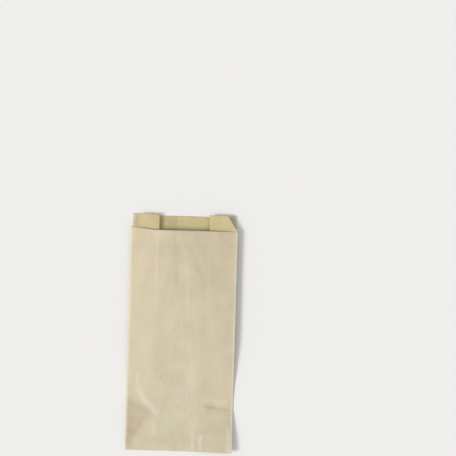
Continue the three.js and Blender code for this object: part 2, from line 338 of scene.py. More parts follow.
@dataclass
class LunchBag:
    """The folded sheet of kraft paper, with its sizes in millimetres.

    A span that something opens, grows or starts over is a pair of distances from the bottom fold.
    """

    # The paper, the folded bag and the seam down its back
    paper: float = 0.08
    fold_radius: float = 0.1
    width: float = 100.0
    length: float = 222.0
    gusset: float = 26.5
    back_inset: float = 1.0
    seam_overlap: float = 12.0
    seam_run_out: float = 4.0
    seam_edge: float = 0.05

    # The cuts at the mouth
    lip_step: float = 15.0
    tab_slant: float = 9.0
    lip_dip: float = 1.4
    lip_dip_run: float = 6.0
    corner_rise: float = 2.0
    corner_rise_width: float = 26.0

    # The bottom, turned under
    flap: float = 20.0
    flap_slant: float = 4.5
    tuck: float = 5.0
    glue_gap: float = 0.06
    flap_ramp: float = 7.0
    step_ramp: float = 4.0
    even_ramp_share: float = 0.3

    # How far it stands open, and where in that room the gussets' inner folds lie
    left_height: float = 3.0
    right_height: float = 5.0
    left_opens: Span = (32.0, 95.0)
    right_opens: Span = (44.0, 112.0)
    crown: float = 2.0
    crown_opens: Span = (8.0, 78.0)
    crown_power: float = 2.6
    mouth_curl: float = 0.7
    mouth_curl_length: float = 14.0
    pressed_gusset_level: float = 0.5
    gusset_level: float = 0.55

    # The front's fine relief, the uneven cuts, and the wear with its painted light and shade
    loosens: Span = (12.0, 70.0)
    pressed_cockle: float = 0.35
    pressed_floor: float = -0.06
    loose_floor: float = -2.0
    relief_starts: Span = (-1.0, 3.0)
    full_relief_share: float = 0.86
    fold_ridge: float = 0.13
    fold_ridge_width: float = 1.1
    fold_ridge_grows: Span = (90.0, 180.0)
    faint_fold_ridge: float = 0.15
    cut_raggedness: float = 0.06
    seed: int = 7
    wear_and_painted_light: WearAndPaintedLight = WearAndPaintedLight()

    # How finely the sheet is divided
    front_steps: tuple[int, int, int] = (4, 76, 4)
    back_steps: tuple[int, int, int] = (1, 3, 26)
    gusset_steps: tuple[int, int] = (11, 7)
    seam_steps: tuple[int, int, int] = (1, 5, 1)
    fold_steps: int = 6
    flap_rows: int = 16
    nose_rows: int = 9
    body_rows: int = 138
    mouth_rows: int = 12
    mouth_stretch: float = 6.0

    def __post_init__(self) -> None:
        """Works out the sizes that follow from the driving ones.

        Pressed flat, the front lies the diameters of three folds over the back. At the bottom the same
        stack is turned under the bag, a glue gap below its back, and goes round an axis in that gap.
        """
        self.pressed = 3.0 * 2.0 * self.fold_radius
        stack = self.pressed + self.paper
        self.back_skin = stack + self.glue_gap
        self.axis_height = self.back_skin - self.glue_gap / 2.0
        self.nose_radius = self.back_skin + stack - self.axis_height
        self.nose_run = math.pi * (self.nose_radius - self.paper / 2.0)
        self.mouth = self.length - self.nose_radius
        self.front_mouth = self.mouth - self.lip_step
        self.front_fold = self.width / 2.0 - self.paper / 2.0 - self.fold_radius
        self.back_fold = self.front_fold - self.back_inset
        self.inner_fold = self.width / 2.0 - self.gusset + self.fold_radius
        self.slant_x = self.front_fold - self.tab_slant

    def back_level(self, x: Array, s: Array) -> Array:
        """Gives the height of the back's middle of paper.

        It is on the table, but for the bottom. A smooth ramp leads down off the tucked layers, more
        slowly near the side folds, and a second one off the end of the flap.

        Args:
            x: Places across the bag.
            s: Distances along the paper from the bottom fold.

        Returns:
            The height at each place.
        """
        slow = smoothstep(np.abs(x), self.even_ramp_share * self.front_fold, self.front_fold)
        over_tuck = 1.0 - smoothstep(s, self.tuck, self.tuck + lerp(self.flap_ramp, self.flap, slow))
        over_flap = 1.0 - smoothstep(s, self.flap, self.flap + self.step_ramp)
        flap_skin = self.paper + self.glue_gap
        return over_tuck * (self.back_skin - flap_skin) + over_flap * flap_skin + self.paper / 2.0

    def side_height(self, side: Side, s: Array) -> Array:
        """Works out how far the front's side fold lies over the back: pressed at the bottom, open above.

        Args:
            side: The side of the bag.
            s: Distances along the paper from the bottom fold.

        Returns:
            The height at each distance.
        """
        if side is Side.LEFT:
            return lerp(self.pressed, self.left_height, smoothstep(s, *self.left_opens))
        return lerp(self.pressed, self.right_height, smoothstep(s, *self.right_opens))

    def relief(self, x: Array, s: Array) -> Array:
        """Adds up the front's fine relief: cockle, dents, and the gussets' inner folds that show through.

        The waves are lower where the layers are pressed together, and no groove goes below a floor there,
        which is on the layers beneath. Each inner fold shows as a ridge, height * exp(-(d / width)^2) at
        the distance d, fainter towards the bottom. All the relief fades out at the side folds.

        Args:
            x: Places across the bag.
            s: Distances along the paper from the bottom fold.

        Returns:
            The height that the relief adds at each place.
        """
        loose = smoothstep(s, *self.loosens)
        fade = 1.0 - smoothstep(np.abs(x), self.full_relief_share * self.front_fold, self.front_fold)
        waves = sum(wave.relief(x, s) for wave in COCKLE) * lerp(self.pressed_cockle, 1.0, loose)
        dents = self.dents(x, s)
        from_fold = (np.abs(x) - self.inner_fold) / self.fold_ridge_width
        growth = lerp(self.faint_fold_ridge, 1.0, smoothstep(s, *self.fold_ridge_grows))
        ridge = self.fold_ridge * np.exp(-(from_fold**2)) * growth
        floor = lerp(self.pressed_floor, self.loose_floor, loose)
        return np.maximum(waves + dents + ridge, floor) * fade * smoothstep(s, *self.relief_starts)

    def dents(self, x: Array, s: Array) -> Array:
        """Returns the front's dents: at each place its highest ridge and its deepest groove together."""
        reliefs = [dent.relief(x, s) for dent in DENTS]
        return np.maximum(np.maximum.reduce(reliefs), 0.0) + np.minimum(np.minimum.reduce(reliefs), 0.0)

    def shade_and_smudge(self, x: Array, s: Array) -> Array:
        """Works out where the paper is painted darker: painted shade on the bent-up corners and in
        grooves, and soft darker patches.

        Args:
            x: Places across the bag.
            s: Distances along the paper from the bottom fold.

        Returns:
            Shares from 0 to 1.
        """
        wear_and_painted_light = self.wear_and_painted_light
        left, right = (
            smoothstep(corner.lift(x, s), 0.0, wear_and_painted_light.bend_height) for corner in (LEFT_CORNER, RIGHT_CORNER)
        )
        grooves = smoothstep(-self.dents(x, s), *wear_and_painted_light.groove_depths)
        patches = sum(shade.tone(x, s) for shade in SHADES)
        marks = wear_and_painted_light.left_bend * left + wear_and_painted_light.right_bend * right + wear_and_painted_light.groove * grooves + patches
        return np.clip(marks, 0.0, 1.0)

    def shade_and_smudge_behind(self, x: Array, s: Array) -> Array:
        """Works out where the paper behind the front is painted darker: painted shade at the mouth, and
        faintly like the front.

        Args:
            x: Places across the bag.
            s: Distances along the paper from the bottom fold.

        Returns:
            Shares from 0 to 1.
        """
        at_mouth = sum(shade.tone(x, s) for shade in MOUTH_SHADES) * smoothstep(s, *self.wear_and_painted_light.mouth_starts)
        return np.clip(self.wear_and_painted_light.behind_front * self.shade_and_smudge(x, s) + at_mouth, 0.0, 1.0)

    def front_level(self, x: Array, s: Array) -> Array:
        """Gives the height of the front's middle of paper.

        A chord runs straight from one side fold's height to the other's. On it stands an arch,
        1 - |x / fold|^power, times the crown and the curl of the cut edge.

        Args:
            x: Places across the bag.
            s: Distances along the paper from the bottom fold.

        Returns:
            The height at each place.
        """
        left, right = self.side_height(Side.LEFT, s), self.side_height(Side.RIGHT, s)
        chord = lerp(left, right, x / self.width + 0.5)
        arch = 1.0 - np.clip(np.abs(x) / self.front_fold, 0.0, 1.0) ** self.crown_power
        curl = self.mouth_curl * smoothstep(s, self.front_mouth - self.mouth_curl_length, self.front_mouth)
        crown = self.crown * smoothstep(s, *self.crown_opens)
        return self.back_level(x, s) + chord + arch * (crown + curl) + self.relief(x, s)

    def inner_fold_height(self, side: Side, s: Array) -> Array:
        """Works out the height of a gusset's inner fold over the back, a share of the room it has there.

        Args:
            side: The side of the bag.
            s: Distances along the paper from the bottom fold.

        Returns:
            The height at each distance.
        """
        x = np.full_like(s, side.value * self.inner_fold)
        room = self.front_level(x, s) - self.relief(x, s) - self.back_level(x, s)
        return room * lerp(self.pressed_gusset_level, self.gusset_level, smoothstep(s, *self.left_opens))

    def front_cut(self, x: Array) -> Array:
        """Returns where the front is cut: straight across, and climbing to its left corner."""
        start = self.width / 2.0 - self.corner_rise_width
        return self.front_mouth + self.corner_rise * smoothstep(-x, start, self.width / 2.0)

    def back_cut(self, x: Array) -> Array:
        """Returns where the back is cut: a little lower between the tabs, and level again under them."""
        dip = 1.0 - smoothstep(np.abs(x), self.inner_fold, self.inner_fold + self.lip_dip_run)
        return self.mouth - self.lip_dip * dip

    def gusset_cut(self, x: Array) -> Array:
        """Returns where a gusset's front half is cut: a slant from the front's cut up to the back's."""
        climb = np.clip((self.front_fold - np.abs(x)) / self.tab_slant, 0.0, 1.0)
        return lerp(self.front_cut(np.sign(x) * self.front_fold), self.mouth, climb)

    def flap_cut(self, x: Array) -> Array:
        """Returns the length turned under at the bottom, with the flap's corners cut back."""
        inward = np.clip((self.front_fold - np.abs(x)) / self.flap_slant, 0.0, 1.0)
        return lerp(self.tuck, self.flap, inward)

    def strip(self, x: Array, height: Level, mouth: Array, under: Array | None = None) -> Strip:
        """Makes a strip of even paper.

        Args:
            x: The lines' places across the bag.
            height: Gives the height of the paper's middle.
            mouth: Where each line is cut at the mouth.
            under: How far each is turned under, if not as far as the tucked layers are.

        Returns:
            The strip.
        """
        half = np.full_like(x, self.paper / 2.0)
        tucked = np.full_like(x, self.tuck) if under is None else under
        return Strip(x=x, height=height, mouth=mouth, under=tucked, outer=half, inner=half)

    def fold(
        self,
        side: Side,
        axis_x: float,
        axis: Callable[[Array], Array],
        quarters: Span,
        mouth: float,
    ) -> Strip:
        """Makes the lines of a pressed fold.

        They stand on a half circle round the fold's axis, x = axis + r cos(a) and z = axis + r sin(a),
        with the two ends left out, because they belong to the layers beside the fold.

        Args:
            side: The side of the bag.
            axis_x: The axis's distance from the bag's middle.
            axis: Gives the axis's height from the distance along the bag.
            quarters: The first and the last layer's angle, in quarter turns.
            mouth: Where the fold ends at the mouth.

        Returns:
            The strip.
        """
        angle = np.linspace(*quarters, self.fold_steps + 1)[1:-1] * math.pi / 2.0
        rise = self.fold_radius * np.sin(angle)[:, None]
        x = side.value * (axis_x + self.fold_radius * np.cos(angle))
        return self.strip(x, lambda _, s: axis(s) + rise, np.full_like(x, mouth))

    def gusset_half(self, side: Side, level: Level, fold_x: float, away: float) -> Strip:
        """Makes a gusset half from its inner fold to its outer one, level over the back at both ends.

        Over the back, the height goes from the inner fold's to the outer fold's as 3t^2 - 2t^3, where t
        runs from 0 at the inner fold to 1 at the outer one.

        Args:
            side: The side of the bag.
            level: The level of the panel that the half hangs from or lies on.
            fold_x: The outer fold's distance from the bag's middle.
            away: The fold's radius, negative for the half on the back.

        Returns:
            The strip, its lines going outwards.
        """
        x = side.value * through((self.inner_fold, self.slant_x, fold_x), self.gusset_steps)

        def height(across: Array, s: Array) -> Array:
            """Works out the heights of the half's lines.

            Args:
                across: Places across the bag.
                s: Distances along the paper from the bottom fold.

            Returns:
                The height at each place.
            """
            edge = np.full_like(s, side.value * fold_x)
            outer = level(edge, s) - self.back_level(edge, s) - 2.0 * away
            share = smoothstep(np.abs(across), self.inner_fold, fold_x)
            return self.back_level(across, s) + lerp(self.inner_fold_height(side, s) + away, outer, share)

        mouth = self.gusset_cut(x) if away > 0.0 else np.full_like(x, self.mouth)
        return self.strip(x, height, mouth)

    def gusset_strips(self, side: Side) -> list[Strip]:
        """Makes one side's strips: its three folds and the gusset's two halves.

        Args:
            side: The side of the bag.

        Returns:
            The strips, from the front's edge to the back's.
        """
        r = self.fold_radius
        folds = (self.front_fold, self.inner_fold, self.back_fold)
        front_x, inner_x, back_x = (side.value * fold_x for fold_x in folds)

        def front_axis(s: Array) -> Array:
            """Returns the height of the front fold's axis."""
            return self.front_level(np.full_like(s, front_x), s) - r

        def inner_axis(s: Array) -> Array:
            """Returns the height of the inner fold's axis."""
            return self.back_level(np.full_like(s, inner_x), s) + self.inner_fold_height(side, s)

        def back_axis(s: Array) -> Array:
            """Returns the height of the back fold's axis."""
            return self.back_level(np.full_like(s, back_x), s) + r

        front_cut = float(self.front_cut(np.array(front_x)))
        return [
            self.fold(side, self.front_fold, front_axis, (1.0, -1.0), front_cut),
            self.gusset_half(side, self.front_level, self.front_fold, r).backwards(),
            self.fold(side, self.inner_fold, inner_axis, (1.0, 3.0), self.mouth),
            self.gusset_half(side, self.back_level, self.back_fold, -r),
            self.fold(side, self.back_fold, back_axis, (1.0, -1.0), self.mouth),
        ]

    def half_back(self, side: Side) -> Strip:
        """Makes half the back, from its side fold to the seam.

        The right half runs over the left one's edge. Beside that edge its skins are a paper's thickness
        higher, and they come down to the table over the run-out.

        Args:
            side: The side of the bag.

        Returns:
            The strip.
        """
        seam_x = self.seam_overlap / 2.0
        edge, run_out = seam_x + self.seam_edge, seam_x + self.seam_run_out
        out = through((edge, edge + self.seam_edge, run_out, self.back_fold), self.back_steps)[::-1]
        x = side.value * out
        strip = self.strip(x, self.back_level, self.back_cut(x))
        if side is Side.LEFT:
            return strip
        raised = self.paper * (1.0 - smoothstep(out, seam_x, seam_x + self.seam_run_out))
        return replace(strip, outer=strip.outer - raised, inner=strip.inner + raised)

    def seam(self) -> Strip:
        """Makes the glued seam, two papers thick.

        Returns:
            The strip, from its right edge to its left one.
        """
        edge = self.seam_overlap / 2.0
        inside = edge - self.seam_edge
        x = through((edge, inside, -inside, -edge), self.seam_steps)
        strip = self.strip(x, self.back_level, self.back_cut(x))
        return replace(strip, inner=strip.inner + self.paper)

    def strips(self) -> list[Strip]:
        """Makes all the strips.

        Returns:
            The strips once round the tube, from the seam's left edge back to it.
        """
        corner = self.front_fold - self.flap_slant
        front_x = through((-self.front_fold, -corner, corner, self.front_fold), self.front_steps)
        front = self.strip(front_x, self.front_level, self.front_cut(front_x), self.flap_cut(front_x))
        left = [strip.backwards() for strip in reversed(self.gusset_strips(Side.LEFT))]
        return [
            self.half_back(Side.LEFT).backwards(),
            *left,
            front,
            *self.gusset_strips(Side.RIGHT),
            self.half_back(Side.RIGHT),
            self.seam(),
        ]

    def rows(self, strip: Strip) -> Array:
        """Places the rows of a strip's lines along the sheet.

        They are evenly spaced in each of four stretches, which meet at the same distances on every
        line: the paper turned under, the bottom fold, the body, and the end at the mouth, which follows
        the cut.

        Args:
            strip: The strip.

        Returns:
            The distances, one row of the array a line.
        """
        body_end = self.front_mouth - self.mouth_stretch
        sheet_end = -self.nose_run - strip.under[:, None]
        under = lerp(sheet_end, -self.nose_run, np.linspace(0, 1, self.flap_rows + 1))
        nose = np.linspace(-self.nose_run, 0.0, self.nose_rows + 1)[1:]
        body = np.linspace(0.0, body_end, self.body_rows + 1)[1:]
        end = lerp(body_end, strip.mouth[:, None], np.linspace(0, 1, self.mouth_rows + 1)[1:])
        middle = np.broadcast_to(np.concatenate([nose, body]), (len(strip.x), len(nose) + len(body)))
        return np.concatenate([under, middle, end], axis=1)

    def turn_under(self, s: Array, height: Array) -> tuple[Array, Array]:
        """Turns the bottom under.

        Below the bottom fold's start the paper goes half round the fold's axis, at an angle of
        pi * min(-s / run, 1), and then straight back along the table.

        Args:
            s: Distances along the paper from the bottom fold.
            height: Heights of the unturned paper.

        Returns:
            The distances along the table, and the heights.
        """
        angle = np.clip(-s / self.nose_run, 0.0, 1.0) * math.pi
        past = np.maximum(-s - self.nose_run, 0.0)
        radius = height - self.axis_height
        y = np.where(s >= 0.0, s, past - radius * np.sin(angle))
        return y, np.where(s >= 0.0, height, self.axis_height + radius * np.cos(angle))

    def skin(self, x: Array, s: Array, height: Array) -> Array:
        """Lays one skin of the paper on the table and bends its corners up.

        Args:
            x: Places across the bag.
            s: Distances along the paper.
            height: Heights of the unturned paper.

        Returns:
            The points in metres, in the bag's frame.
        """
        y, z = self.turn_under(s, height)
        z = z + LEFT_CORNER.lift(x, y) + RIGHT_CORNER.lift(x, y)
        return np.stack([x, y + self.nose_radius - self.length / 2.0, z], axis=-1) * MM

    def build(self) -> bpy.types.Object:
        """Makes the sheet's mesh: an outer and an inner skin, joined along the cuts at both ends.

        The skins lie half the paper's thickness from its middle, along the normal (-tz, tx) of the
        direction (tx, tz) in which the lines follow each other.

        Returns:
            The new piece.
        """
        strips = self.strips()
        rows = [self.rows(strip) for strip in strips]
        across = [np.broadcast_to(strip.x[:, None], s.shape) for strip, s in zip(strips, rows)]
        height = np.concatenate([strip.height(x, s) for strip, x, s in zip(strips, across, rows)])
        x, s = np.concatenate(across), np.concatenate(rows)
        step = np.stack([np.roll(x, -1, axis=0) - x, np.roll(height, -1, axis=0) - height])
        length = np.hypot(*step)
        turned = step / length + np.roll(step / length, 1, axis=1)
        normal = np.stack([-turned[1], turned[0]]) / np.hypot(*turned)
        outer = np.concatenate([strip.outer for strip in strips])[:, None]
        inner = np.concatenate([strip.inner for strip in strips])[:, None]
        cut_s = s + self.ragged_cut(s.shape)
        skins = [
            self.skin(x + normal[0] * out, cut_s, height + normal[1] * out) for out in (outer, -inner)
        ]

        body_row = self.flap_rows + self.nose_rows + self.body_rows // 2
        places = np.concatenate([[0.0], np.cumsum(length[:, body_row])])
        first = sum(len(strip.x) for strip in strips[:FRONT_STRIP])
        places -= places[first + sum(self.front_steps) // 2]
        front = np.zeros((len(x), 1))
        front[first : first + len(strips[FRONT_STRIP].x)] = 1.0
        # The marks: wear with painted highlights, and painted shade with a darker patch and a smudge
        marks = {
            "wear_and_painted_light": np.maximum(self.edge_wear_and_highlight(step / length), self.painted_highlights(x, s, front)),
            "shade_and_smudge": lerp(self.shade_and_smudge_behind(x, s), self.shade_and_smudge(x, s), front),
        }
        return self.sheet_object(np.stack(skins), cut_s, places, marks)

    def ragged_cut(self, shape: tuple[int, int]) -> Array:
        """Makes small steps along the bag that leave the two cut edges as uneven as a blade does.

        Args:
            shape: How many lines and rows the sheet has.

        Returns:
            The step of each point, which is nought but at the ends of the lines.
        """
        rng = np.random.default_rng(self.seed)
        ragged = np.zeros(shape)
        ragged[:, 0] = self.cut_raggedness * rng.random(shape[0])
        ragged[:, -1] = -self.cut_raggedness * rng.random(shape[0])
        return ragged

    def edge_wear_and_highlight(self, direction: Array) -> Array:
        """Works out how worn the paper is at its folds, and the painted highlight along its cuts.

        At a fold it is the sine of the angle that the paper turns by from line to line, in shares of the
        sine of the turn that counts as full wear.

        Args:
            direction: The unit steps from line to line, by component, line and row.

        Returns:
            Shares from 0 to 1.
        """
        before = np.roll(direction, 1, axis=1)
        turn = np.abs(direction[0] * before[1] - direction[1] * before[0])
        worn_and_highlight = np.clip(turn / math.sin(math.radians(self.wear_and_painted_light.full_turn_deg)), 0.0, 1.0)
        worn_and_highlight[:, [0, -1]] = self.wear_and_painted_light.cut
        return worn_and_highlight

    def painted_highlights(self, x: Array, s: Array, front: Array) -> Array:
        """Works out the painted highlights: on the front beside its side folds and on its ridges.

        Behind the front they lie where it shows at the mouth, beside the back's side folds.

        Args:
            x: Places across the bag.
            s: Distances along the paper from the bottom fold.
            front: 1 on the front's lines and 0 on the others.

        Returns:
            Shares from 0 to 1.
        """
        wear_and_painted_light = self.wear_and_painted_light
        start, full = self.front_fold - wear_and_painted_light.side_edge, self.front_fold - wear_and_painted_light.side_full
        beside = smoothstep(np.abs(x), start, full)
        ridges = wear_and_painted_light.ridge * smoothstep(self.dents(x, s), *wear_and_painted_light.ridge_heights)
        corners = smoothstep(np.abs(x), self.back_fold - wear_and_painted_light.side_edge, self.back_fold)
        at_mouth = smoothstep(s, self.front_mouth, self.front_mouth + self.corner_rise)
        return lerp(corners * at_mouth, np.maximum(beside, ridges), front)

    def sheet_object(
        self,
        skins: Array,
        s: Array,
        u: Array,
        marks: Mapping[str, Array],
    ) -> bpy.types.Object:
        """Puts the two skins into a mesh.

        Its UV map is the flat sheet: u once round the tube, from the front's middle, and v along the bag
        from the bottom fold. The marks go in as attributes.

        Args:
            skins: The outer and the inner skin's points, by skin, line and row.
            s: The rows' distances along the sheet.
            u: The lines' places across it, with one more for the way back to the first.
            marks: How marked each point is, by the mark's name.

        Returns:
            The new piece.
        """
        _, lines, rows, _ = skins.shape
        index = np.arange(2 * lines * rows).reshape(2, lines, rows)
        index = np.concatenate([index, index[:, :1]], axis=1)
        v = np.concatenate([s, s[:1]])
        chart = np.stack([np.broadcast_to(u[:, None], v.shape), v], axis=-1) / SHEET_UNIT

        def quads(grid: Array) -> Array:
            """Returns the corners of all the faces of a skin, once round each face."""
            return np.stack([grid[:-1, :-1], grid[1:, :-1], grid[1:, 1:], grid[:-1, 1:]], axis=2)

        def rim(grid: Array, row: int) -> Array:
            """Returns the corners of the faces along a cut edge."""
            ends = [grid[0][:-1, row], grid[1][:-1, row], grid[1][1:, row], grid[0][1:, row]]
            return np.stack(ends if row == 0 else ends[::-1], axis=1)

        outside = quads(index[0]).reshape(-1, 4)
        inside = quads(index[1])[:, :, ::-1].reshape(-1, 4)
        both = np.stack([chart, chart])
        faces = np.concatenate([outside, inside, rim(index, 0), rim(index, -1)])
        uv = np.concatenate([
            quads(chart).reshape(-1, 4, 2),
            quads(chart)[:, :, ::-1].reshape(-1, 4, 2),
            rim(both, 0),
            rim(both, -1),
        ])
        face_kind = np.repeat([kind.value for kind in Face], [len(outside), len(inside), 2 * lines])
        mesh = bpy.data.meshes.new("paper_bag")
        mesh.from_pydata(skins.reshape(-1, 3), [], faces)
        mesh.uv_layers.new(name="sheet").data.foreach_set("uv", uv.astype(np.float32).ravel())
        mesh.polygons.foreach_set("material_index", face_kind.astype(np.int32))
        mesh.polygons.foreach_set("use_smooth", face_kind != Face.CUT.value)
        for name, mark in marks.items():
            on_both = np.concatenate([mark.ravel(), mark.ravel()]).astype(np.float32)
            mesh.attributes.new(name, "FLOAT", "POINT").data.foreach_set("value", on_both)
        mesh.validate()
        piece = bpy.data.objects.new("paper_bag", mesh)
        bpy.context.scene.collection.objects.link(piece)
        return piece

    def dress(self, piece: bpy.types.Object) -> None:
        """Gives the piece its finishes, in the order of the kinds of face."""
        for face in Face:
            piece.data.materials.append(FINISHES[face].make(self))


class Number:
    """A number that varies over the paper: a node socket that formulas can be written with."""

    def __init__(self, nodes: NodeSheet, socket: bpy.types.NodeSocket) -> None:
        """Keeps the socket and the node sheet it is on."""
        self.nodes = nodes
        self.socket = socket

    def math(self, operation: str, *values: Number | float) -> Number:
        """Returns the result of a Math node whose inputs are the given values in order."""
        made = self.nodes.node("ShaderNodeMath", {"operation": operation}, dict(enumerate(values)))
        return Number(self.nodes, made.outputs[0])

    def __add__(self, other: Number | float) -> Number:
        """Returns the sum."""
        return self.math("ADD", self, other)

    def __sub__(self, other: Number | float) -> Number:
        """Returns the difference."""
        return self.math("SUBTRACT", self, other)

    def __rsub__(self, other: float) -> Number:
        """Returns a number less this one."""
        return self.math("SUBTRACT", other, self)

    def __mul__(self, other: Number | float) -> Number:
        """Returns the product."""
        return self.math("MULTIPLY", self, other)

    def __abs__(self) -> Number:
        """Returns the distance from nought."""
        return self.math("ABSOLUTE", self)

    __radd__ = __add__
    __rmul__ = __mul__

    def rise(self, low: float, high: float) -> Number:
        """Makes a smooth step, as smoothstep does for places on the bag.

        Args:
            low: Where it leaves 0.
            high: Where it reaches 1.

        Returns:
            The step's height.
        """
        settings = {"interpolation_type": "SMOOTHSTEP", "clamp": True}
        made = self.nodes.node("ShaderNodeMapRange", settings, {0: self, 1: low, 2: high, 3: 0.0, 4: 1.0})
        return Number(self.nodes, made.outputs[0])

    def at_least(self, least: float) -> Number:
        """Returns the number with its range of 0 to 1 squeezed to least to 1."""
        return self * (1.0 - least) + least


class NodeSheet:
    """A material's nodes."""

    def __init__(self, name: str) -> None:
        """Starts an empty material.

        Args:
            name: The material's name.
        """
        self.material = bpy.data.materials.new(name)
        self.material.use_nodes = True
        self.tree = self.material.node_tree
        self.tree.nodes.clear()

    def node(
        self,
        kind: str,
        settings: Mapping[str, Any],
        inputs: Mapping[str | int, Input],
    ) -> bpy.types.Node:
        """Adds a node.

        Args:
            kind: The node's type.
            settings: The node's own options, set before its inputs.
            inputs: Values or links for its sockets, by name or place.

        Returns:
            The node.
        """
        node = self.tree.nodes.new(kind)
        for name, value in settings.items():
            setattr(node, name, value)
        for key, value in inputs.items():
            source = value.socket if isinstance(value, Number) else value
            if isinstance(source, bpy.types.NodeSocket):
                self.tree.links.new(source, node.inputs[key])
            else:
                node.inputs[key].default_value = source
        return node

    def blend(self, share: Number | float, first: Input, second: Input) -> bpy.types.NodeSocket:
        """Mixes two colours.

        Args:
            share: The second colour's share.
            first: The first colour.
            second: The second colour.

        Returns:
            The mixed colour, which comes out of the Mix node's third socket.
        """
        inputs = {0: share, 6: with_alpha(first), 7: with_alpha(second)}
        return self.node("ShaderNodeMix", {"data_type": "RGBA"}, inputs).outputs[2]

    def mark(self, name: str) -> Number:
        """Returns one of the paper's marks."""
        made = self.node("ShaderNodeAttribute", {"attribute_name": name}, {})
        return Number(self, made.outputs["Fac"])

    def sheet_place(self) -> bpy.types.NodeSocket:
        """Returns the place on the flat sheet, in its UV map's unit."""
        return self.node("ShaderNodeUVMap", {"uv_map": "sheet"}, {}).outputs[0]


def linear(colour: Colour) -> Colour:
    """Turns a screen colour into linear light, by the usual screen curve.

    Args:
        colour: Red, green and blue, each from 0 to 255.

    Returns:
        The three as shares of full light.
    """
    shares = np.array(colour) / 255.0
    low, high = shares / 12.92, ((shares + 0.055) / 1.055) ** 2.4
    return tuple(float(value) for value in np.where(shares <= 0.04045, low, high))


def with_alpha(colour: Input) -> Input:
    """Returns a colour's three numbers with full alpha, or a link as it is."""
    return (*colour, 1.0) if isinstance(colour, tuple) else colour


@dataclass(frozen=True)
class Cloud:
    """A cloudy pattern on the flat sheet.

    Its patches have a usual width across the bag and a usual length along it, in millimetres. The detail
    is how many finer layers it has, the turn is its grain's in degrees, and the seed is where in the noise
    it is taken. Its spots are where it is high: they rise from their least to 1 over the edge's values.
    """

    across: float
    along: float
    detail: float = 2.0
    turn: float = 0.0
    seed: float = 0.0
    edge: Span = (0.0, 1.0)
    least: float = 0.0

    def on(self, nodes: NodeSheet) -> Number:
        """Makes the pattern: noise on the sheet's place, turned and then stretched to the patches' size.

        Args:
            nodes: The material's nodes.

        Returns:
            The pattern's values, which lie around a half.
        """
        turned = nodes.node("ShaderNodeMapping", {}, {
            "Vector": nodes.sheet_place(),
            "Rotation": (0.0, 0.0, math.radians(self.turn)),
        })
        placed = nodes.node("ShaderNodeMapping", {}, {
            "Vector": turned.outputs[0],
            "Location": (0.0, 0.0, self.seed),
            "Scale": (SHEET_UNIT / self.across, SHEET_UNIT / self.along, 1.0),
        })
        noise = nodes.node("ShaderNodeTexNoise", {}, {
            "Vector": placed.outputs[0],
            "Scale": 1.0,
            "Detail": self.detail,
        })
        return Number(nodes, noise.outputs[0])

    def spots(self, nodes: NodeSheet) -> Number:
        """Returns the pattern's spots."""
        spots = self.on(nodes).rise(*self.edge)
        return spots.at_least(self.least) if self.least else spots


# The pulp: broad patches where it is thicker, streaks along the web, fine grain, and its tinted places
PATCHES = Cloud(across=15.0, along=21.0, detail=2.5, turn=8.0, seed=1.3)
STREAKS = Cloud(across=0.8, along=26.0, seed=4.1)
GRAIN = Cloud(across=0.5, along=0.8, detail=3.0, seed=7.7)
HUES = Cloud(across=48.0, along=75.0, seed=5.2, edge=(0.4, 0.62))

# Its dark and pale fibres, and shives, which are dark specks of bark
FIBRES = Cloud(across=0.34, along=3.6, detail=1.0, turn=14.0, seed=2.6, edge=(0.6, 0.72))
CROSSING_FIBRES = Cloud(across=0.34, along=3.0, detail=1.0, turn=-38.0, seed=5.9, edge=(0.62, 0.74))
PALE_FIBRES = Cloud(across=0.4, along=4.2, detail=1.0, turn=-9.0, seed=8.4, edge=(0.62, 0.74))
SHIVES = Cloud(across=0.7, along=1.5, turn=22.0, seed=3.3, edge=(0.7, 0.76))

# What breaks up the painted shade and smudges, and the wear and painted highlights
MOTTLE = Cloud(across=9.0, along=7.0, detail=3.0, seed=2.9, edge=(0.2, 0.62), least=0.5)
WEAR_AND_HIGHLIGHT_MOTTLE = Cloud(across=2.5, along=6.0, detail=3.0, seed=6.6, edge=(0.3, 0.65), least=0.5)


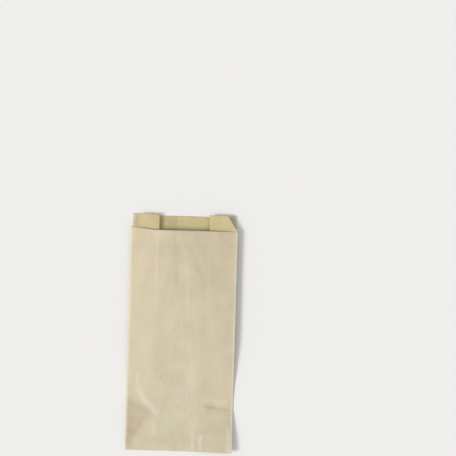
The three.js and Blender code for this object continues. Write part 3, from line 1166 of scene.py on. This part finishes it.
@dataclass(frozen=True)
class KraftFinish:
    """One surface of kraft paper.

    Colours are as on a screen, sizes are in millimetres, and the numbers from clouds to shives are the
    strengths of its patterns. A span from a fold is a pair of distances from it, negative towards the
    front's middle.
    """

    name: str
    dark: Colour
    light: Colour
    tint: Colour
    fibre: Colour
    shive: Colour
    # Of the next two colours, the lighter one shows wear and painted highlights, the darker one painted
    # shade, a darker patch and a smudge
    worn_and_highlight: Colour
    shade_and_smudge_colour: Colour
    clouds: float
    tints: float
    streaks: float
    grain: float
    fibres: float
    shives: float
    roughness: float
    roughness_spread: float
    tooth: float
    # How strongly wear and painted highlights lighten the paper
    worn_and_highlight_strength: float = 0.75

    # The front's side strips: more tinted than its middle, and of another hue where a gusset backs them
    tinted_from_inner: Span = (-12.0, 6.0)
    least_tinted: float = 0.35
    backed: float = 0.0
    backing: Colour = (240, 206, 162)
    backed_from_inner: Span = (-0.8, 0.8)
    backed_to_side: Span = (0.0, 0.3)
    backed_grows: Span = (130.0, 200.0)
    least_backed: float = 0.1

    # How high each pattern stands in the surface, in shares of its tooth, and how the surface shines
    fibre_relief: float = 0.35
    grain_relief: float = 1.6
    patch_relief: float = 1.5
    streak_relief: float = 0.8
    refraction: float = 1.45
    specular: float = 0.35

    def side_strips(self, nodes: NodeSheet, bag: LunchBag) -> tuple[Number, Number]:
        """Works out where the front's side strips are on the flat sheet.

        Args:
            nodes: The material's nodes.
            bag: The bag, for where its folds are.

        Returns:
            Shares from 0 to 1: how much of the tint the paper has, and how much of the backing shows.
        """
        place = nodes.node("ShaderNodeSeparateXYZ", {}, {0: nodes.sheet_place()})
        across, along = (Number(nodes, place.outputs[axis]) * SHEET_UNIT for axis in (0, 1))
        from_middle = abs(across)
        from_inner, from_side = from_middle - bag.inner_fold, from_middle - bag.front_fold
        tinted = from_inner.rise(*self.tinted_from_inner).at_least(self.least_tinted)
        backed = from_inner.rise(*self.backed_from_inner) * (1.0 - from_side.rise(*self.backed_to_side))
        return tinted, backed * along.rise(*self.backed_grows).at_least(self.least_backed)

    def make(self, bag: LunchBag) -> bpy.types.Material:
        """Makes the material.

        The tone is 1/2 + clouds * c + streaks * s + grain * g, with c, s and g the patches', the streaks'
        and the grain's pattern less a half. It runs from the dark to the light colour, and the other
        colours are laid over it in turn.

        Args:
            bag: The bag, for where its folds are on the sheet.

        Returns:
            The material.
        """
        nodes = NodeSheet(self.name)
        patches, streaks, grain = (cloud.on(nodes) - 0.5 for cloud in (PATCHES, STREAKS, GRAIN))
        tone = patches * self.clouds + streaks * self.streaks + grain * self.grain + 0.5
        tinted, backed = self.side_strips(nodes, bag)
        fibres = FIBRES.spots(nodes) + CROSSING_FIBRES.spots(nodes)
        pale = PALE_FIBRES.spots(nodes)

        colour = nodes.blend(tone.rise(0.0, 1.0), linear(self.dark), linear(self.light))
        for share, over in (
            (HUES.spots(nodes) * tinted * self.tints, self.tint),
            (backed * self.backed, self.backing),
            # The darker colour is painted shade, with a darker patch and a smudge; the lighter one below
            # is wear with painted highlights
            (nodes.mark("shade_and_smudge") * MOTTLE.spots(nodes), self.shade_and_smudge_colour),
            (fibres.rise(0.0, 1.0) * self.fibres, self.fibre),
            (pale * self.fibres, self.light),
            (SHIVES.spots(nodes) * self.shives, self.shive),
            (nodes.mark("wear_and_painted_light") * WEAR_AND_HIGHLIGHT_MOTTLE.spots(nodes) * self.worn_and_highlight_strength, self.worn_and_highlight),
        ):
            colour = nodes.blend(share, colour, linear(over))

        height = (fibres + pale) * self.fibre_relief + grain * self.grain_relief
        height = height + patches * self.patch_relief + streaks * self.streak_relief
        bump = nodes.node("ShaderNodeBump", {}, {
            "Strength": 1.0,
            "Distance": self.tooth * MM,
            "Height": height,
        })
        shader = nodes.node("ShaderNodeBsdfPrincipled", {}, {
            "Base Color": colour,
            "Roughness": (streaks + grain) * self.roughness_spread + self.roughness,
            "Normal": bump.outputs[0],
            "IOR": self.refraction,
            "Specular IOR Level": self.specular,
        })
        nodes.node("ShaderNodeOutputMaterial", {}, {0: shader.outputs[0]})
        return nodes.material


# The paper's smooth outer side, its yellower felt side, and its cut edge
FINISHES = {
    Face.OUTSIDE: KraftFinish(
        name="kraft_outside",
        dark=(190, 180, 151), light=(226, 217, 190), tint=(218, 200, 171), fibre=(178, 160, 128),
        shive=(136, 112, 82), worn_and_highlight=(234, 222, 200), shade_and_smudge_colour=(186, 168, 142),
        clouds=0.55, tints=0.45, streaks=0.25, grain=0.4, fibres=0.25, shives=0.35,
        roughness=0.6, roughness_spread=0.2, tooth=0.02, backed=0.15,
    ),
    Face.INSIDE: KraftFinish(
        name="kraft_inside",
        dark=(187, 172, 125), light=(226, 213, 168), tint=(211, 192, 145), fibre=(168, 148, 102),
        shive=(122, 98, 64), worn_and_highlight=(222, 207, 168), shade_and_smudge_colour=(184, 166, 122),
        clouds=0.8, tints=0.4, streaks=0.2, grain=0.6, fibres=0.35, shives=0.55,
        roughness=0.86, roughness_spread=0.12, tooth=0.035,
    ),
    Face.CUT: KraftFinish(
        name="kraft_cut_edge",
        dark=(186, 168, 128), light=(224, 208, 172), tint=(210, 192, 150), fibre=(176, 156, 118),
        shive=(140, 116, 82), worn_and_highlight=(224, 210, 178), shade_and_smudge_colour=(180, 162, 128),
        clouds=0.3, tints=0.2, streaks=0.2, grain=1.0, fibres=0.5, shives=0.3,
        roughness=0.95, roughness_spread=0.05, tooth=0.02,
    ),
}


@dataclass(frozen=True)
class Studio:
    """A pale table, one soft key light from the left, even light all round, and the camera overhead.

    The bag's place comes from the photograph, in pixels from the frame's left and top edges. Sizes that
    have no unit in their name are in metres.
    """

    frame_px: float = 456.0
    bag_middle_px: tuple[float, float] = (181.4, 333.4)
    px_per_mm: float = 1.071
    bag_turn_deg: float = 1.65
    camera_height: float = 0.9
    bag_top: float = 0.005
    table_colour: Colour = (240, 239, 236)
    table_roughness: float = 0.9
    table_specular: float = 0.2
    table_half: float = 4.0
    table_gap: float = 0.00005
    key_elevation_deg: float = 38.0
    key_azimuth_deg: float = 15.0
    key_strength: float = 2.0
    key_angle_deg: float = 22.0
    sky_colour: Colour = (255, 255, 255)
    sky_strength: float = 0.6

    def to_bag(self, dx: float, dy: float) -> tuple[float, float]:
        """Turns a step on the image into one in the bag's frame.

        Args:
            dx: Pixels to the right.
            dy: Pixels down.

        Returns:
            The step across and along the bag, in metres.
        """
        turn = math.radians(self.bag_turn_deg)
        x = dx * math.cos(turn) + dy * math.sin(turn)
        y = dx * math.sin(turn) - dy * math.cos(turn)
        return x / self.px_per_mm * MM, y / self.px_per_mm * MM

    def camera(self) -> bpy.types.Object:
        """Puts the camera straight over the frame's middle, turned so that the bag leans on the image.

        Returns:
            The camera.
        """
        middle = self.frame_px / 2.0
        x, y = self.to_bag(middle - self.bag_middle_px[0], middle - self.bag_middle_px[1])
        data = bpy.data.cameras.new("overhead")
        data.sensor_fit = "HORIZONTAL"
        width = self.frame_px / self.px_per_mm * MM
        data.angle = 2.0 * math.atan(width / 2.0 / (self.camera_height - self.bag_top))
        camera = bpy.data.objects.new("overhead", data)
        camera.location = (x, y, self.camera_height)
        camera.rotation_euler = (0.0, 0.0, math.radians(self.bag_turn_deg))
        bpy.context.scene.collection.objects.link(camera)
        bpy.context.scene.camera = camera
        return camera

    def key(self) -> bpy.types.Object:
        """Puts in the key light, which comes from the left and a little from below on the image.

        Returns:
            The light.
        """
        data = bpy.data.lights.new("key", "SUN")
        data.energy = self.key_strength
        data.angle = math.radians(self.key_angle_deg)
        key = bpy.data.objects.new("key", data)
        azimuth = math.radians(self.key_azimuth_deg + self.bag_turn_deg)
        elevation = math.radians(self.key_elevation_deg)
        flat = math.cos(elevation)
        shines = Vector((flat * math.cos(azimuth), flat * math.sin(azimuth), -math.sin(elevation)))
        key.rotation_euler = shines.to_track_quat("-Z", "Y").to_euler()
        bpy.context.scene.collection.objects.link(key)
        return key

    def sky(self) -> bpy.types.World:
        """Lights everything evenly.

        Returns:
            The world.
        """
        world = bpy.data.worlds.new("even_light")
        world.use_nodes = True
        background = world.node_tree.nodes["Background"]
        background.inputs["Color"].default_value = with_alpha(linear(self.sky_colour))
        background.inputs["Strength"].default_value = self.sky_strength
        bpy.context.scene.world = world
        return world

    def table(self) -> bpy.types.Object:
        """Makes the table top, a wide plane just under the bag.

        Returns:
            The table, which is stage and not part of the bag.
        """
        half, top = self.table_half, -self.table_gap
        corners = [(x * half, y * half, top) for x, y in ((-1, -1), (1, -1), (1, 1), (-1, 1))]
        mesh = bpy.data.meshes.new("table")
        mesh.from_pydata(corners, [], [(0, 1, 2, 3)])
        nodes = NodeSheet("table_top")
        shader = nodes.node("ShaderNodeBsdfPrincipled", {}, {
            "Base Color": with_alpha(linear(self.table_colour)),
            "Roughness": self.table_roughness,
            "Specular IOR Level": self.table_specular,
        })
        nodes.node("ShaderNodeOutputMaterial", {}, {0: shader.outputs[0]})
        mesh.materials.append(nodes.material)
        table = bpy.data.objects.new("table", mesh)
        bpy.context.scene.collection.objects.link(table)
        return table

    def build(self) -> None:
        """Sets up the camera, the lights and the table."""
        self.camera()
        self.key()
        self.sky()
        self.table()
        bpy.context.scene.view_settings.view_transform = "Standard"
        bpy.context.scene.view_settings.look = "None"


def main() -> None:
    """Builds the bag over its CAD node, and the studio round it."""
    logging.basicConfig(level=logging.INFO, format="%(name)s: %(message)s")
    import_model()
    Studio().build()

    bag = LunchBag()
    piece = bag.build()
    bag.dress(piece)
    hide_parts(NODE)
    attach(piece, "root")
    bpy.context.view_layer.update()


if __name__ == "__main__":
    main()
